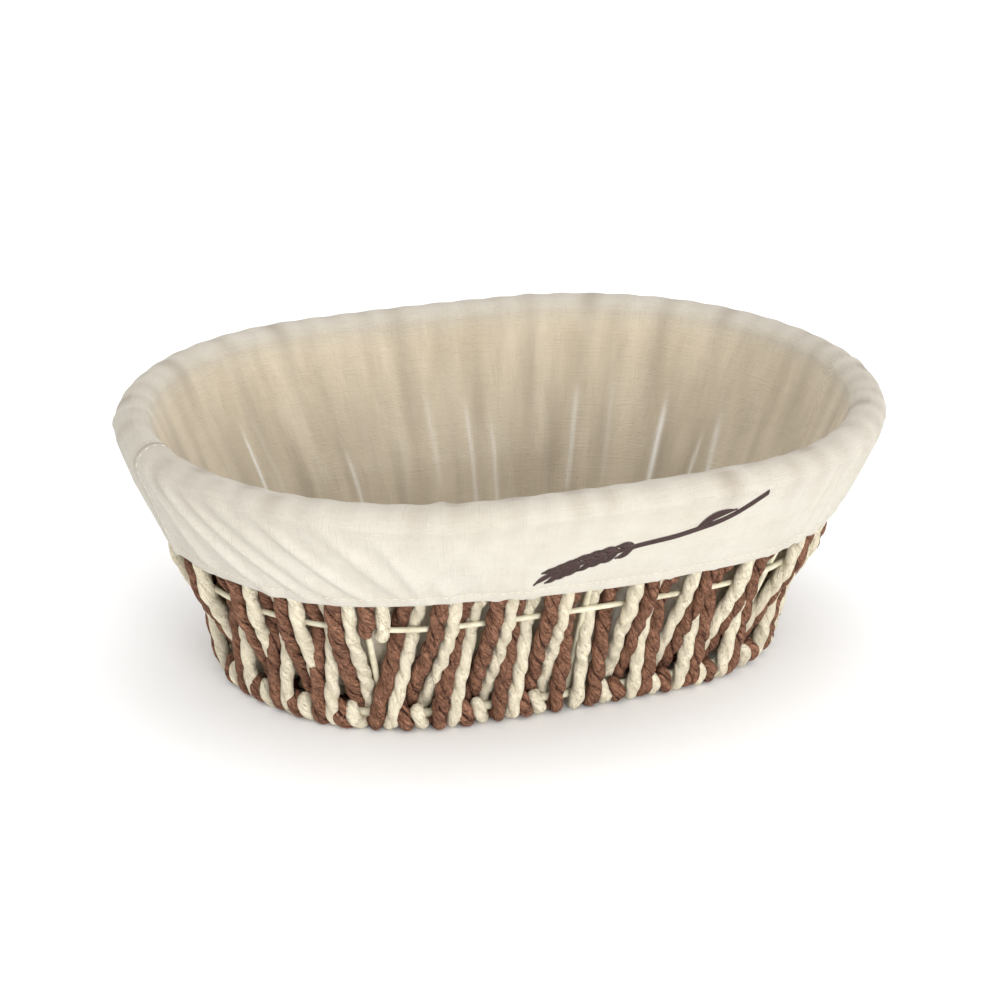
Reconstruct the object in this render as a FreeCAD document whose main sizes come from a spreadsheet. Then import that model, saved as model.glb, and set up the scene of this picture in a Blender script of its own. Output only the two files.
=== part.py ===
import FreeCAD, Part
import math
import os

import Sketcher
from FreeCAD import Placement, Rotation, Vector

# Lined oval bread basket, in millimetres. Three wire rings and four bent ribs
# make the frame, paper ropes are laced over the rings, and a cotton liner
# hangs inside with its cuff turned down over the rim.
# +X is the long axis, +Y the back, +Z up, and the origin is the middle of the
# footprint on the table.

os.makedirs("parts", exist_ok=True)
doc = FreeCAD.newDocument("BreadBasket")

# ---------------------------------------------------------------- dimensions
SIZES = [
    ("rim_half_length", 132.5, "rim wire centreline, half of the long axis"),
    ("rim_half_width", 96.0, "rim wire centreline, half of the short axis"),
    ("rim_height", 89.5, "rim wire centreline above the table"),
    ("middle_half_length", 114.9, "middle wire centreline, half length"),
    ("middle_half_width", 74.5, "middle wire centreline, half width"),
    ("middle_height", 43.0, "middle wire centreline above the table"),
    ("base_half_length", 100.1, "base wire centreline, half length"),
    ("base_half_width", 62.0, "base wire centreline, half width"),
    ("base_height", 5.6, "base wire centreline above the table"),
    ("side_bulge", 500.0, "distance of a side arc's centre beyond the long axis"),
    ("ring_wire_radius", 1.5, "rim and base wire"),
    ("middle_wire_radius", 1.0, "middle wire"),
    ("rib_wire_radius", 1.2, "upright ribs"),
    ("rib_bend_radius", 2.0, "inside bends of the ribs"),
    ("rib_inset", 14.0, "how far a rib runs straight in from the base wire"),
    ("weld_gap", 0.05, "clearance at a weld"),
    ("rope_radius", 2.0, "laced paper rope"),
    ("rope_gap", 0.1, "clearance between a rope and the wire it passes"),
    ("strand_slots", 120, "evenly spaced places round the wall, ribs included"),
    ("rib_uprights", 8, "uprights, evenly spaced round the wall"),
    ("floor_rope_pitch", 5.4, "spacing of the ropes in the floor"),
    ("floor_rope_first", 4.2, "first floor rope from the long rib"),
    ("cloth_thickness", 1.0, "cotton liner with its seams"),
    ("liner_gap", 0.3, "clearance between the liner and the ropes"),
    ("hem_height", 56.2, "lower edge of the turned-down cuff"),
    ("elastic_radius", 0.7, "elastic cord in the hem"),
    ("stem_radius", 0.6, "satin stitched stem of the embroidered wheat ear"),
    ("kernel_radius", 1.0, "satin stitched kernel"),
    ("kernel_length", 6.0, "satin stitched kernel"),
    ("kernel_spread", 32.0, "degrees between a kernel and the stem"),
    ("kernel_pitch", 4.6, "spacing of the kernel pairs along the ear"),
    ("kernel_pairs", 6, "pairs of kernels in the ear"),
]

sheet = doc.addObject("Spreadsheet::Sheet", "Sizes")
for row, (alias, value, note) in enumerate(SIZES, start=1):
    sheet.set(f"A{row}", alias)
    sheet.set(f"B{row}", str(value))
    sheet.setAlias(f"B{row}", alias)
    sheet.set(f"C{row}", note)
doc.recompute()


def size(alias):
    return float(sheet.get(alias))


ROPE = size("rope_radius")
WIRE = size("ring_wire_radius")
BULGE = size("side_bulge")
CLOTH = size("cloth_thickness")
UP = Vector(0, 0, 1)
RING_HOLD = WIRE + size("rope_gap") + ROPE
MIDDLE_HOLD = size("middle_wire_radius") + size("rope_gap") + ROPE
sub_parts = []


def keep(feature, label):
    """Names a finished sub-part, so that it is written as parts/label.step."""
    feature.Label = label
    sub_parts.append(feature)
    return feature


def keep_shape(shape, label):
    feature = doc.addObject("Part::Feature", label)
    feature.Shape = shape
    feature.Placement = Placement(Vector(0, 0, 0), Rotation())
    return keep(feature, label)


# ------------------------------------------------------------ four-arc ovals
class Oval:
    """An oval of two end arcs and two long side arcs that meet in tangents."""

    def __init__(self, half_length, half_width):
        self.excess = half_length - half_width
        self.end_centre = self.excess * (2 * BULGE - self.excess) / (2 * (BULGE - self.excess))
        self.end_radius = half_length - self.end_centre
        self.side_radius = half_width + BULGE
        self.join = math.atan2(BULGE, self.end_centre)
        self.end_arc = self.end_radius * self.join
        self.side_arc = self.side_radius * (math.pi / 2 - self.join)
        self.perimeter = 4 * (self.end_arc + self.side_arc)

    def point(self, fraction):
        """Point and outward direction, counter-clockwise from the +X end."""
        along = (fraction % 1.0) * self.perimeter
        quarter = self.perimeter / 4
        turn = int(along // quarter)
        rest = along - turn * quarter
        if turn % 2:
            rest = quarter - rest
        if rest <= self.end_arc:
            angle = rest / self.end_radius
            x = self.end_centre + self.end_radius * math.cos(angle)
            y = self.end_radius * math.sin(angle)
        else:
            angle = self.join + (rest - self.end_arc) / self.side_radius
            x = self.side_radius * math.cos(angle)
            y = self.side_radius * math.sin(angle) - BULGE
        flip_x = -1 if turn in (1, 2) else 1
        flip_y = -1 if turn in (2, 3) else 1
        outward = Vector(flip_x * math.cos(angle), flip_y * math.sin(angle), 0)
        return Vector(flip_x * x, flip_y * y, 0), outward

    def outside(self, x, y):
        """Signed distance of a point from the oval, positive outside it."""
        x, y = abs(x), abs(y)
        if math.atan2(y, x - self.end_centre) <= self.join:
            return math.hypot(x - self.end_centre, y) - self.end_radius
        return math.hypot(x, y + BULGE) - self.side_radius


rim = Oval(size("rim_half_length"), size("rim_half_width"))
middle = Oval(size("middle_half_length"), size("middle_half_width"))
base = Oval(size("base_half_length"), size("base_half_width"))
RIM_Z, MIDDLE_Z, BASE_Z = size("rim_height"), size("middle_height"), size("base_height")


def wall_size(height, outward):
    """Half length and half width of the wall line at a height, moved outward."""
    if height >= MIDDLE_Z:
        share = (height - MIDDLE_Z) / (RIM_Z - MIDDLE_Z)
        low, high = "middle", "rim"
    else:
        share = (height - BASE_Z) / (MIDDLE_Z - BASE_Z)
        low, high = "base", "middle"
    return tuple(
        size(f"{low}_{side}") + share * (size(f"{high}_{side}") - size(f"{low}_{side}")) + outward
        for side in ("half_length", "half_width")
    )


# ------------------------------------------------------------------ wire rings
def oval_cells(half_length, half_width):
    """Expressions for an oval's arcs: end centre, end radius, side radius, angle."""
    bulge = "Sizes.side_bulge"
    excess = f"({half_length} - {half_width})"
    centre = f"({excess} * (2 * {bulge} - {excess}) / (2 * ({bulge} - {excess})))"
    return centre, f"({half_length} - {centre})", f"({half_width} + {bulge})", f"atan({bulge} / {centre})"


def wire_ring(ring, wire_cell, label):
    """Four torus arcs, joined end to end, whose sizes follow the sheet."""
    cells = oval_cells(f"Sizes.{ring}_half_length", f"Sizes.{ring}_half_width")
    centre, end_radius, side_radius, join = cells
    side_turn = f"(180 deg - 2 * {join})"
    places = [
        ("right", end_radius, f"2 * {join}", centre, "0", f"-{join}"),
        ("back", side_radius, side_turn, "0", "-Sizes.side_bulge", join),
        ("left", end_radius, f"2 * {join}", f"-{centre}", "0", f"180 deg - {join}"),
        ("front", side_radius, side_turn, "0", "Sizes.side_bulge", f"180 deg + {join}"),
    ]
    arcs = []
    for side, radius, sweep, x, y, start in places:
        arc = doc.addObject("Part::Torus", f"{label}_{side}")
        arc.setExpression("Radius1", radius)
        arc.setExpression("Radius2", wire_cell)
        arc.setExpression("Angle3", sweep)
        arc.setExpression("Placement.Base.x", x)
        arc.setExpression("Placement.Base.y", y)
        arc.setExpression("Placement.Base.z", f"Sizes.{ring}_height")
        arc.Placement.Rotation = Rotation(UP, 1)
        arc.setExpression("Placement.Rotation.Angle", start)
        arcs.append(arc)
    fused = doc.addObject("Part::MultiFuse", label)
    fused.Shapes = arcs
    fused.Refine = True
    return keep(fused, label)


wire_ring("rim", "Sizes.ring_wire_radius", "rim_wire")
wire_ring("middle", "Sizes.middle_wire_radius", "middle_wire")
wire_ring("base", "Sizes.ring_wire_radius", "base_wire")


# ---------------------------------------------------------------- swept paths
def tube(path, radius):
    """A round bar along a wire of straight runs and tangent arcs."""
    first = path.Edges[0]
    start = first.valueAt(first.FirstParameter)
    heading = first.tangentAt(first.FirstParameter)
    disc = Part.Face(Part.Wire(Part.makeCircle(radius, start, heading)))
    solid = path.makePipe(disc)
    expected = math.pi * radius**2 * path.Length
    if abs(solid.Volume - expected) > 0.01 * expected:
        raise RuntimeError(f"tube volume {solid.Volume:.1f} is not {expected:.1f}")
    return solid


def rounded_path(points, radius):
    """Straight runs through the points, with a tangent arc at each corner."""
    edges = []
    start = points[0]
    for before, corner, after in zip(points, points[1:], points[2:]):
        back = (before - corner).normalize()
        ahead = (after - corner).normalize()
        half_turn = (math.pi - back.getAngle(ahead)) / 2
        reach = radius * math.tan(half_turn)
        enter, leave = corner + back * reach, corner + ahead * reach
        bisector = (back + ahead).normalize()
        crown = corner + bisector * (radius / math.cos(half_turn) - radius)
        edges.append(Part.makeLine(start, enter))
        edges.append(Part.Arc(enter, crown, leave).toShape())
        start = leave
    edges.append(Part.makeLine(start, points[-1]))
    return Part.Wire(edges)


def laced_path(stops, place, first_turn=0.0, last_turn=0.0, lead=0.0):
    """A rope held by round bars, like a belt.

    Each stop is (across, height, radius, side): side is 1 where the bar lies to
    the left of a rope that travels along, and -1 where it lies to the right.
    first_turn and last_turn are the angles wrapped round the outer bars, and
    lead is a straight length before the first bar.
    place turns (across, height) into a point in space.
    """
    runs = []
    for (x0, z0, r0, s0), (x1, z1, r1, s1) in zip(stops, stops[1:]):
        heading = math.atan2(z1 - z0, x1 - x0)
        heading -= math.asin((s1 * r1 - s0 * r0) / math.hypot(x1 - x0, z1 - z0))
        left = (-math.sin(heading), math.cos(heading))
        runs.append((
            (x0 - s0 * r0 * left[0], z0 - s0 * r0 * left[1]),
            (x1 - s1 * r1 * left[0], z1 - s1 * r1 * left[1]),
        ))

    if lead:
        (x0, z0), (x1, z1) = runs[0]
        share = lead / math.hypot(x1 - x0, z1 - z0)
        runs[0] = ((x0 - share * (x1 - x0), z0 - share * (z1 - z0)), (x1, z1))

    def around(stop, begin, end):
        def spot(angle):
            return place(stop[0] + stop[2] * math.cos(angle), stop[1] + stop[2] * math.sin(angle))
        return Part.Arc(spot(begin), spot((begin + end) / 2), spot(end)).toShape()

    def bearing(stop, spot):
        return math.atan2(spot[1] - stop[1], spot[0] - stop[0])

    edges = []
    if first_turn:
        end = bearing(stops[0], runs[0][0])
        edges.append(around(stops[0], end - stops[0][3] * first_turn, end))
    for number, (start, finish) in enumerate(runs):
        edges.append(Part.makeLine(place(*start), place(*finish)))
        stop = stops[number + 1]
        begin = bearing(stop, finish)
        if number + 1 < len(runs):
            end = bearing(stop, runs[number + 1][0])
            turn = (end - begin + math.pi) % (2 * math.pi) - math.pi
            if abs(turn) > 1e-3:
                edges.append(around(stop, begin, begin + turn))
        elif last_turn:
            edges.append(around(stop, begin, begin + stop[3] * last_turn))
    return Part.Wire(edges)


# ------------------------------------------------------------------------ ribs
RIB = size("rib_wire_radius")
RIB_BACKSET = RIB + WIRE + size("weld_gap")
RIB_MIDDLE_BACKSET = RIB + size("middle_wire_radius") + size("weld_gap")
RIB_BEND = size("rib_bend_radius")
CROSS_RIB_Z = BASE_Z
LONG_RIB_Z = BASE_Z + 2 * RIB + size("weld_gap")


def upright(fraction, floor_height):
    """Corners of one upright, from its top down to the floor and inward."""
    top, top_out = rim.point(fraction)
    waist, waist_out = middle.point(fraction)
    foot, foot_out = base.point(fraction)
    return [
        top - top_out * RIB_BACKSET + UP * RIM_Z,
        waist - waist_out * RIB_MIDDLE_BACKSET + UP * MIDDLE_Z,
        foot - foot_out * RIB_BACKSET + UP * floor_height,
        foot - foot_out * size("rib_inset") + UP * floor_height,
    ]


def rib(first, second, floor_height, label):
    """One wire down a side of the basket, across the floor and up the other."""
    spacing = size("rib_uprights")
    going_down = upright(first / spacing, floor_height)
    coming_up = upright(second / spacing, floor_height)
    if (going_down[-1] - going_down[-2]).getAngle(coming_up[-1] - going_down[-1]) < 1e-3:
        going_down.pop()
        coming_up.pop()
    return keep_shape(tube(rounded_path(going_down + coming_up[::-1], RIB_BEND), RIB), label)


rib(0, 4, LONG_RIB_Z, "long_rib")
rib(3, 5, CROSS_RIB_Z, "cross_rib_left")
rib(2, 6, CROSS_RIB_Z, "cross_rib_middle")
rib(1, 7, CROSS_RIB_Z, "cross_rib_right")

# ------------------------------------------------------------------ wall ropes
SLOTS = int(size("strand_slots"))
UPRIGHTS = int(size("rib_uprights"))
SECTOR_SLOTS = SLOTS // UPRIGHTS
SECTOR_ROPES = SECTOR_SLOTS - 1
SHIFTED_SECTORS = (6, 7)
GAP_SECTOR = 5
GAP_SECTOR_ROPES = SECTOR_ROPES + 1
CUT_ROPES = 2
TAIL_SLOT = 0.8
KNOT_SLOT = 1.6
FIRST_FOOT_SLOT = 1.9
FIRST_HEAD_SLOT = 3.0
LAST_SLOT = 14.1
RIM_TURN = math.radians(190)
BASE_TURN_OUTER = math.radians(150)
BASE_TURN_INNER = math.radians(235)
TAIL_LENGTH = 6.0
KNOT_TURN = math.radians(245)


def wall_plane(foot_slot, head_slot):
    """The upright plane of a rope: its place function and the ring positions."""
    foot, _ = base.point(foot_slot / SLOTS)
    head, _ = rim.point(head_slot / SLOTS)
    reach = head - foot
    across = Vector(reach).normalize()
    low, high = 0.0, reach.Length
    for _ in range(40):
        half = (low + high) / 2
        if middle.outside(foot.x + across.x * half, foot.y + across.y * half) > 0:
            high = half
        else:
            low = half

    def place(outward, height):
        return foot + across * outward + UP * height

    return place, low, reach.Length


def wall_rope(foot_slot, head_slot, side):
    """side is 1 for a rope that is outside the base and rim wires, and -1 for
    one that is inside them and passes in front of the middle wire."""
    place, at_middle, at_rim = wall_plane(foot_slot, head_slot)
    stops = [
        (0.0, BASE_Z, RING_HOLD, side),
        (at_middle, MIDDLE_Z, MIDDLE_HOLD, -side),
        (at_rim, RIM_Z, RING_HOLD, side),
    ]
    base_turn = BASE_TURN_OUTER if side > 0 else BASE_TURN_INNER
    return tube(laced_path(stops, place, base_turn, RIM_TURN), ROPE)


def hanging_tail(slot):
    """A rope cut off just below the middle wire, which it passes in front."""
    place, at_middle, at_rim = wall_plane(slot, slot)
    stops = [
        (at_middle, MIDDLE_Z, MIDDLE_HOLD, 1),
        (at_rim, RIM_Z, RING_HOLD, -1),
    ]
    return tube(laced_path(stops, place, 0.0, RIM_TURN, TAIL_LENGTH), ROPE)


def knotted_tail(slot):
    """A rope that ends wrapped once round the middle wire."""
    place, at_middle, at_rim = wall_plane(slot, slot)
    stops = [
        (at_middle, MIDDLE_Z, MIDDLE_HOLD, 1),
        (at_rim, RIM_Z, RING_HOLD, -1),
    ]
    return tube(laced_path(stops, place, KNOT_TURN, RIM_TURN), ROPE)


def rope_slots(sector, step):
    """Foot and head of a rope. Ropes stand evenly, but beside the gap one more
    rope fits in and the feet close up behind the two cut ropes."""
    if sector != GAP_SECTOR:
        return step + 1, step + 1
    share = (step - CUT_ROPES) / (GAP_SECTOR_ROPES - 1 - CUT_ROPES)
    return (FIRST_FOOT_SLOT + share * (LAST_SLOT - FIRST_FOOT_SLOT),
            FIRST_HEAD_SLOT + share * (LAST_SLOT - FIRST_HEAD_SLOT))


for sector in range(UPRIGHTS):
    start = sector * SECTOR_SLOTS
    even_colour, odd_colour = ("cream", "brown") if sector in SHIFTED_SECTORS else ("brown", "cream")
    ropes = {"brown": [], "cream": []}
    for step in range(GAP_SECTOR_ROPES if sector == GAP_SECTOR else SECTOR_ROPES):
        number = sector * SECTOR_ROPES + step
        colour = odd_colour if number % 2 else even_colour
        if sector == GAP_SECTOR and step == 0:
            keep_shape(hanging_tail(start + TAIL_SLOT), f"rope_tail_{colour}")
        elif sector == GAP_SECTOR and step == 1:
            keep_shape(knotted_tail(start + KNOT_SLOT), f"rope_knot_{colour}")
        else:
            before_middle_wire = (number % 4 >= 2) != (sector < GAP_SECTOR)
            foot, head = rope_slots(sector, step)
            side = -1 if before_middle_wire else 1
            ropes[colour].append(wall_rope(start + foot, start + head, side))
    for colour, solids in ropes.items():
        keep_shape(Part.makeCompound(solids), f"wall_ropes_{colour}_{sector + 1}")

# ----------------------------------------------------------------- floor ropes
FLOOR_HOLD = RIB + size("rope_gap") + ROPE
FLOOR_ROPE_SETBACK = 1.0
FLOOR_EDGE = RING_HOLD + ROPE + size("liner_gap") + FLOOR_ROPE_SETBACK
FLOOR_ROPES = 9
floor_oval = Oval(size("base_half_length") - FLOOR_EDGE, size("base_half_width") - FLOOR_EDGE)
rib_knee = upright(1 / UPRIGHTS, CROSS_RIB_Z)[-1]


def floor_rope(y, first_side):
    """A rope along the floor, over one cross rib and under the next."""
    reach = floor_oval.end_centre + math.sqrt(floor_oval.end_radius**2 - y**2)
    ribs_at = [-rib_knee.x, 0.0, rib_knee.x]
    if abs(y) > abs(rib_knee.y) - FLOOR_HOLD:
        ribs_at = [0.0]
        reach = rib_knee.x - 2 * FLOOR_HOLD
    bars = [(x, BASE_Z, FLOOR_HOLD, first_side * (-1) ** turn) for turn, x in enumerate(ribs_at)]
    lift = FLOOR_HOLD * first_side
    last_lift = lift * (-1) ** (len(bars) - 1)
    stops = [(-reach, BASE_Z - lift, 0.0, 1)] + bars + [(reach, BASE_Z - last_lift, 0.0, 1)]
    return tube(laced_path(stops, lambda x, z: Vector(x, y, z)), ROPE)


floor_ropes = {"brown": [], "cream": []}
for step in range(FLOOR_ROPES):
    for side in (-1, 1):
        offset = size("floor_rope_first") + step * size("floor_rope_pitch")
        colour = "brown" if (step + (side > 0)) % 2 else "cream"
        over = 1 if (step + (side > 0)) % 2 else -1
        floor_ropes[colour].append(floor_rope(side * offset, over))
for colour, solids in floor_ropes.items():
    keep_shape(Part.makeCompound(solids), f"floor_ropes_{colour}")

# ----------------------------------------------------------------------- liner
ROPE_FACE = RING_HOLD + ROPE
WALL_FACE = ROPE_FACE + size("liner_gap")
FLOOR_TOP = BASE_Z + FLOOR_HOLD + ROPE
LINER_Z = FLOOR_TOP + size("liner_gap")
CUFF_OUTWARD = 3.7
CUFF_LEAVES_CREST = math.radians(28)


def oval_wire(half_length, half_width, height):
    """The four arcs of an oval, as a closed wire at a height."""
    oval = Oval(half_length, half_width)

    def arc(centre_x, centre_y, radius, begin, end):
        def spot(angle):
            return Vector(centre_x + radius * math.cos(angle), centre_y + radius * math.sin(angle), height)
        return Part.Arc(spot(begin), spot((begin + end) / 2), spot(end)).toShape()

    turn = math.pi - oval.join
    return Part.Wire([
        arc(oval.end_centre, 0, oval.end_radius, -oval.join, oval.join),
        arc(0, -BULGE, oval.side_radius, oval.join, turn),
        arc(-oval.end_centre, 0, oval.end_radius, turn, turn + 2 * oval.join),
        arc(0, BULGE, oval.side_radius, math.pi + oval.join, 2 * math.pi - oval.join),
    ])


def sleeve(levels, thickness):
    """A wall through (height, outward) levels, whose inner face is set in by thickness."""
    outer = Part.makeLoft([oval_wire(*wall_size(z, out), z) for z, out in levels], True, True)
    inner = Part.makeLoft([oval_wire(*wall_size(z, out - thickness), z) for z, out in levels], True, True)
    return outer.cut(inner)


def oval_sketch(body, name, half_length, half_width, height):
    """A closed four-arc sketch over the body's XY plane, bound to expressions."""
    plane = next(item for item in body.Origin.OriginFeatures if item.Role == "XY_Plane")
    sketch = body.newObject("Sketcher::SketchObject", name)
    sketch.AttachmentSupport = [(plane, "")]
    sketch.MapMode = "FlatFace"
    sketch.setExpression("AttachmentOffset.Base.z", height)
    turn = math.pi - base.join
    arcs = [
        (Vector(base.end_centre, 0, 0), base.end_radius, -base.join, base.join),
        (Vector(0, -BULGE, 0), base.side_radius, base.join, turn),
        (Vector(-base.end_centre, 0, 0), base.end_radius, turn, turn + 2 * base.join),
        (Vector(0, BULGE, 0), base.side_radius, math.pi + base.join, 2 * math.pi - base.join),
    ]
    for centre, radius, begin, end in arcs:
        sketch.addGeometry(Part.ArcOfCircle(Part.Circle(centre, UP, radius), begin, end), False)
    for number in range(3):
        sketch.addConstraint(Sketcher.Constraint("Tangent", number, 2, number + 1, 1))
    sketch.addConstraint(Sketcher.Constraint("Coincident", 3, 2, 0, 1))
    for number, axis in ((0, -1), (1, -2), (2, -1)):
        sketch.addConstraint(Sketcher.Constraint("PointOnObject", number, 3, axis))
    sketch.addConstraint(Sketcher.Constraint("Equal", 0, 2))
    sketch.addConstraint(Sketcher.Constraint("Equal", 1, 3))
    centre, end_radius, side_radius, _ = oval_cells(half_length, half_width)
    sizes = [
        ("end_centre", centre, ("DistanceX", -1, 1, 0, 3, base.end_centre)),
        ("end_radius", end_radius, ("Radius", 0, base.end_radius)),
        ("side_radius", side_radius, ("Radius", 1, base.side_radius)),
    ]
    for label, expression, constraint in sizes:
        index = sketch.addConstraint(Sketcher.Constraint(*constraint))
        sketch.renameConstraint(index, label)
        sketch.setExpression(f"Constraints.{label}", expression)
    return sketch


keep_shape(sleeve([(LINER_Z, -WALL_FACE), (MIDDLE_Z, -WALL_FACE), (RIM_Z, -WALL_FACE)], CLOTH), "liner_wall")

panel = doc.addObject("PartDesign::Body", "liner_floor")
lift = "(Sizes.rib_wire_radius + Sizes.rope_gap + 2 * Sizes.rope_radius + Sizes.liner_gap)"
inset = ("(Sizes.ring_wire_radius + Sizes.rope_gap + 2 * Sizes.rope_radius + Sizes.liner_gap"
         " + Sizes.cloth_thickness + Sizes.weld_gap)")
outline_cells = [
    f"Sizes.base_{side} + {lift} / (Sizes.middle_height - Sizes.base_height)"
    f" * (Sizes.middle_{side} - Sizes.base_{side}) - {inset}"
    for side in ("half_length", "half_width")
]
outline = oval_sketch(panel, "liner_floor_outline", *[f"({cell})" for cell in outline_cells],
                      f"Sizes.base_height + {lift}")
pad = panel.newObject("PartDesign::Pad", "liner_floor_pad")
pad.Profile = outline
pad.setExpression("Length", "Sizes.cloth_thickness")
keep(panel, "liner_floor")


def crest(radius):
    """The upper half of a ring of round section that follows the rim wire."""
    oval = rim
    places = [
        (oval.end_radius, 2 * oval.join, oval.end_centre, 0, -oval.join),
        (oval.side_radius, math.pi - 2 * oval.join, 0, -BULGE, oval.join),
        (oval.end_radius, 2 * oval.join, -oval.end_centre, 0, math.pi - oval.join),
        (oval.side_radius, math.pi - 2 * oval.join, 0, BULGE, math.pi + oval.join),
    ]
    arcs = []
    for ring_radius, sweep, x, y, start in places:
        section = Part.Face(Part.Wire([
            Part.Arc(Vector(ring_radius + radius, 0, 0), Vector(ring_radius, 0, radius),
                     Vector(ring_radius - radius, 0, 0)).toShape(),
            Part.makeLine(Vector(ring_radius - radius, 0, 0), Vector(ring_radius + radius, 0, 0)),
        ]))
        solid = section.revolve(Vector(0, 0, 0), UP, math.degrees(sweep))
        solid.Placement = Placement(Vector(x, y, RIM_Z), Rotation(UP, math.degrees(start)))
        arcs.append(solid)
    return arcs[0].multiFuse(arcs[1:])


def beside_rim(angle):
    """Height and outward place of the cuff where it leaves the crest, below the rim wire."""
    drop = WALL_FACE * math.sin(angle)
    lean = (size("rim_half_width") - size("middle_half_width")) / (RIM_Z - MIDDLE_Z)
    return RIM_Z - drop, WALL_FACE * math.cos(angle) + drop * lean + CLOTH


cuff_levels = [(size("hem_height"), CUFF_OUTWARD + CLOTH)]
cuff_levels += [beside_rim(angle) for angle in (CUFF_LEAVES_CREST, CUFF_LEAVES_CREST / 2, 0.0)]
cuff_skirt = sleeve(cuff_levels, CLOTH)
cuff_crest = crest(WALL_FACE + CLOTH).cut(crest(WALL_FACE))
keep_shape(cuff_skirt.fuse(cuff_crest).removeSplitter(), "liner_cuff")

elastic_z = size("hem_height") - size("elastic_radius") - size("weld_gap")
elastic_line = oval_wire(*wall_size(elastic_z, CUFF_OUTWARD + CLOTH / 2), elastic_z)
keep_shape(tube(elastic_line, size("elastic_radius")), "hem_elastic")

# ------------------------------------------------------------------ embroidery
STITCH_LIFT = 0.45
FRONT_MIDDLE = 0.75
EAR_TIP_LENGTH = 2.0
STEM_CORNER_RADIUS = 15.0
# Stem from the ear's tip to its cut end: along the front from its middle, and height.
STEM_ROUTE = [(-22.0, 65.5), (-8.0, 70.5), (8.0, 74.0), (24.0, 76.0), (40.0, 80.5), (51.0, 88.0)]


def on_cuff(along, height, lift):
    """A point over the front of the cuff, and the cuff's outward direction there."""
    (low, low_out), (high, high_out) = cuff_levels[:2]
    if height > high:
        (low, low_out), (high, high_out) = cuff_levels[1:3]
    out = low_out + (height - low) / (high - low) * (high_out - low_out)
    oval = Oval(*wall_size(height, out + lift))
    spot, outward = oval.point(FRONT_MIDDLE + along / rim.perimeter)
    return spot + UP * height, outward


def kernel(along, spread):
    """A short stitched bar that leans off the stem towards the ear's tip."""
    (tip_s, tip_z), (end_s, end_z) = STEM_ROUTE[0], STEM_ROUTE[2]
    slope = math.atan2(tip_z - end_z, tip_s - end_s)
    height = tip_z + (along - tip_s) * (end_z - tip_z) / (end_s - tip_s)
    near = size("stem_radius") + size("kernel_radius")
    side = math.copysign(1, spread)
    start_s = along - side * near * math.sin(slope)
    start_z = height + side * near * math.cos(slope)
    heading = slope + math.radians(spread)
    lift = size("kernel_radius") + STITCH_LIFT
    start, _ = on_cuff(start_s, start_z, lift)
    end, _ = on_cuff(start_s + size("kernel_length") * math.cos(heading),
                     start_z + size("kernel_length") * math.sin(heading), lift)
    return tube(Part.Wire([Part.makeLine(start, end)]), size("kernel_radius"))


stem_line = [on_cuff(along, height, size("stem_radius") + STITCH_LIFT)[0] for along, height in STEM_ROUTE]
stitches = [tube(rounded_path(stem_line, STEM_CORNER_RADIUS), size("stem_radius"))]
for pair in range(int(size("kernel_pairs"))):
    along = STEM_ROUTE[0][0] + EAR_TIP_LENGTH + pair * size("kernel_pitch")
    stitches += [kernel(along, size("kernel_spread")), kernel(along, -size("kernel_spread"))]
keep_shape(Part.makeCompound(stitches), "wheat_embroidery")

# ----------------------------------------------------------- check and export
doc.recompute()
for item in doc.Objects:
    if "Invalid" in item.State or "Error" in item.State:
        raise RuntimeError(f"{item.Name} failed: {item.State}")
for part in sub_parts:
    if part.Shape.isNull() or not part.Shape.isValid():
        raise RuntimeError(f"{part.Label} has no valid shape")
for part in sub_parts:
    part.Shape.exportStep(f"parts/{part.Label}.step")
    box = part.Shape.optimalBoundingBox(False)
    print(f"{part.Label}: {len(part.Shape.Solids)} solids, {part.Shape.Volume:.0f} mm3, "
          f"z {box.ZMin:.2f}..{box.ZMax:.2f}, x {box.XMin:.1f}..{box.XMax:.1f}, y {box.YMin:.1f}..{box.YMax:.1f}")
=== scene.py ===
import math

import bpy
import numpy as np
from mathutils import Matrix, Vector


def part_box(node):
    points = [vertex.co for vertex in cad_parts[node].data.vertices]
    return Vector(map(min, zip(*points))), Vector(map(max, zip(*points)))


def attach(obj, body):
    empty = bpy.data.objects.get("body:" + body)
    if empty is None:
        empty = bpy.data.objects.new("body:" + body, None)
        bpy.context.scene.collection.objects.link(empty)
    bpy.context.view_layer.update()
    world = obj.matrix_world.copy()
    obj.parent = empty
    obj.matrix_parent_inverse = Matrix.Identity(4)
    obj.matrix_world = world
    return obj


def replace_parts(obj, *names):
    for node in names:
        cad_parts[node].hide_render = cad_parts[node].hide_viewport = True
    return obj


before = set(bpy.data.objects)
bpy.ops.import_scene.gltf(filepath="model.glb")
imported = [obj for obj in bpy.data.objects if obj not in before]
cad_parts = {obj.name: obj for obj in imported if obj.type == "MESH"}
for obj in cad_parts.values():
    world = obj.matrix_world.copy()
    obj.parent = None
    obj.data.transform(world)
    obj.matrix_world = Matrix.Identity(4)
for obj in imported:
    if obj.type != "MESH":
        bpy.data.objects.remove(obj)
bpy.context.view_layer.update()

# Lined oval bread basket. Shapes are worked out in millimetres and scaled to
# metres when a mesh is made. "fraction" runs counter-clockwise round an oval
# from its +X end, and a slot is 1/120 of the way round.

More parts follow.
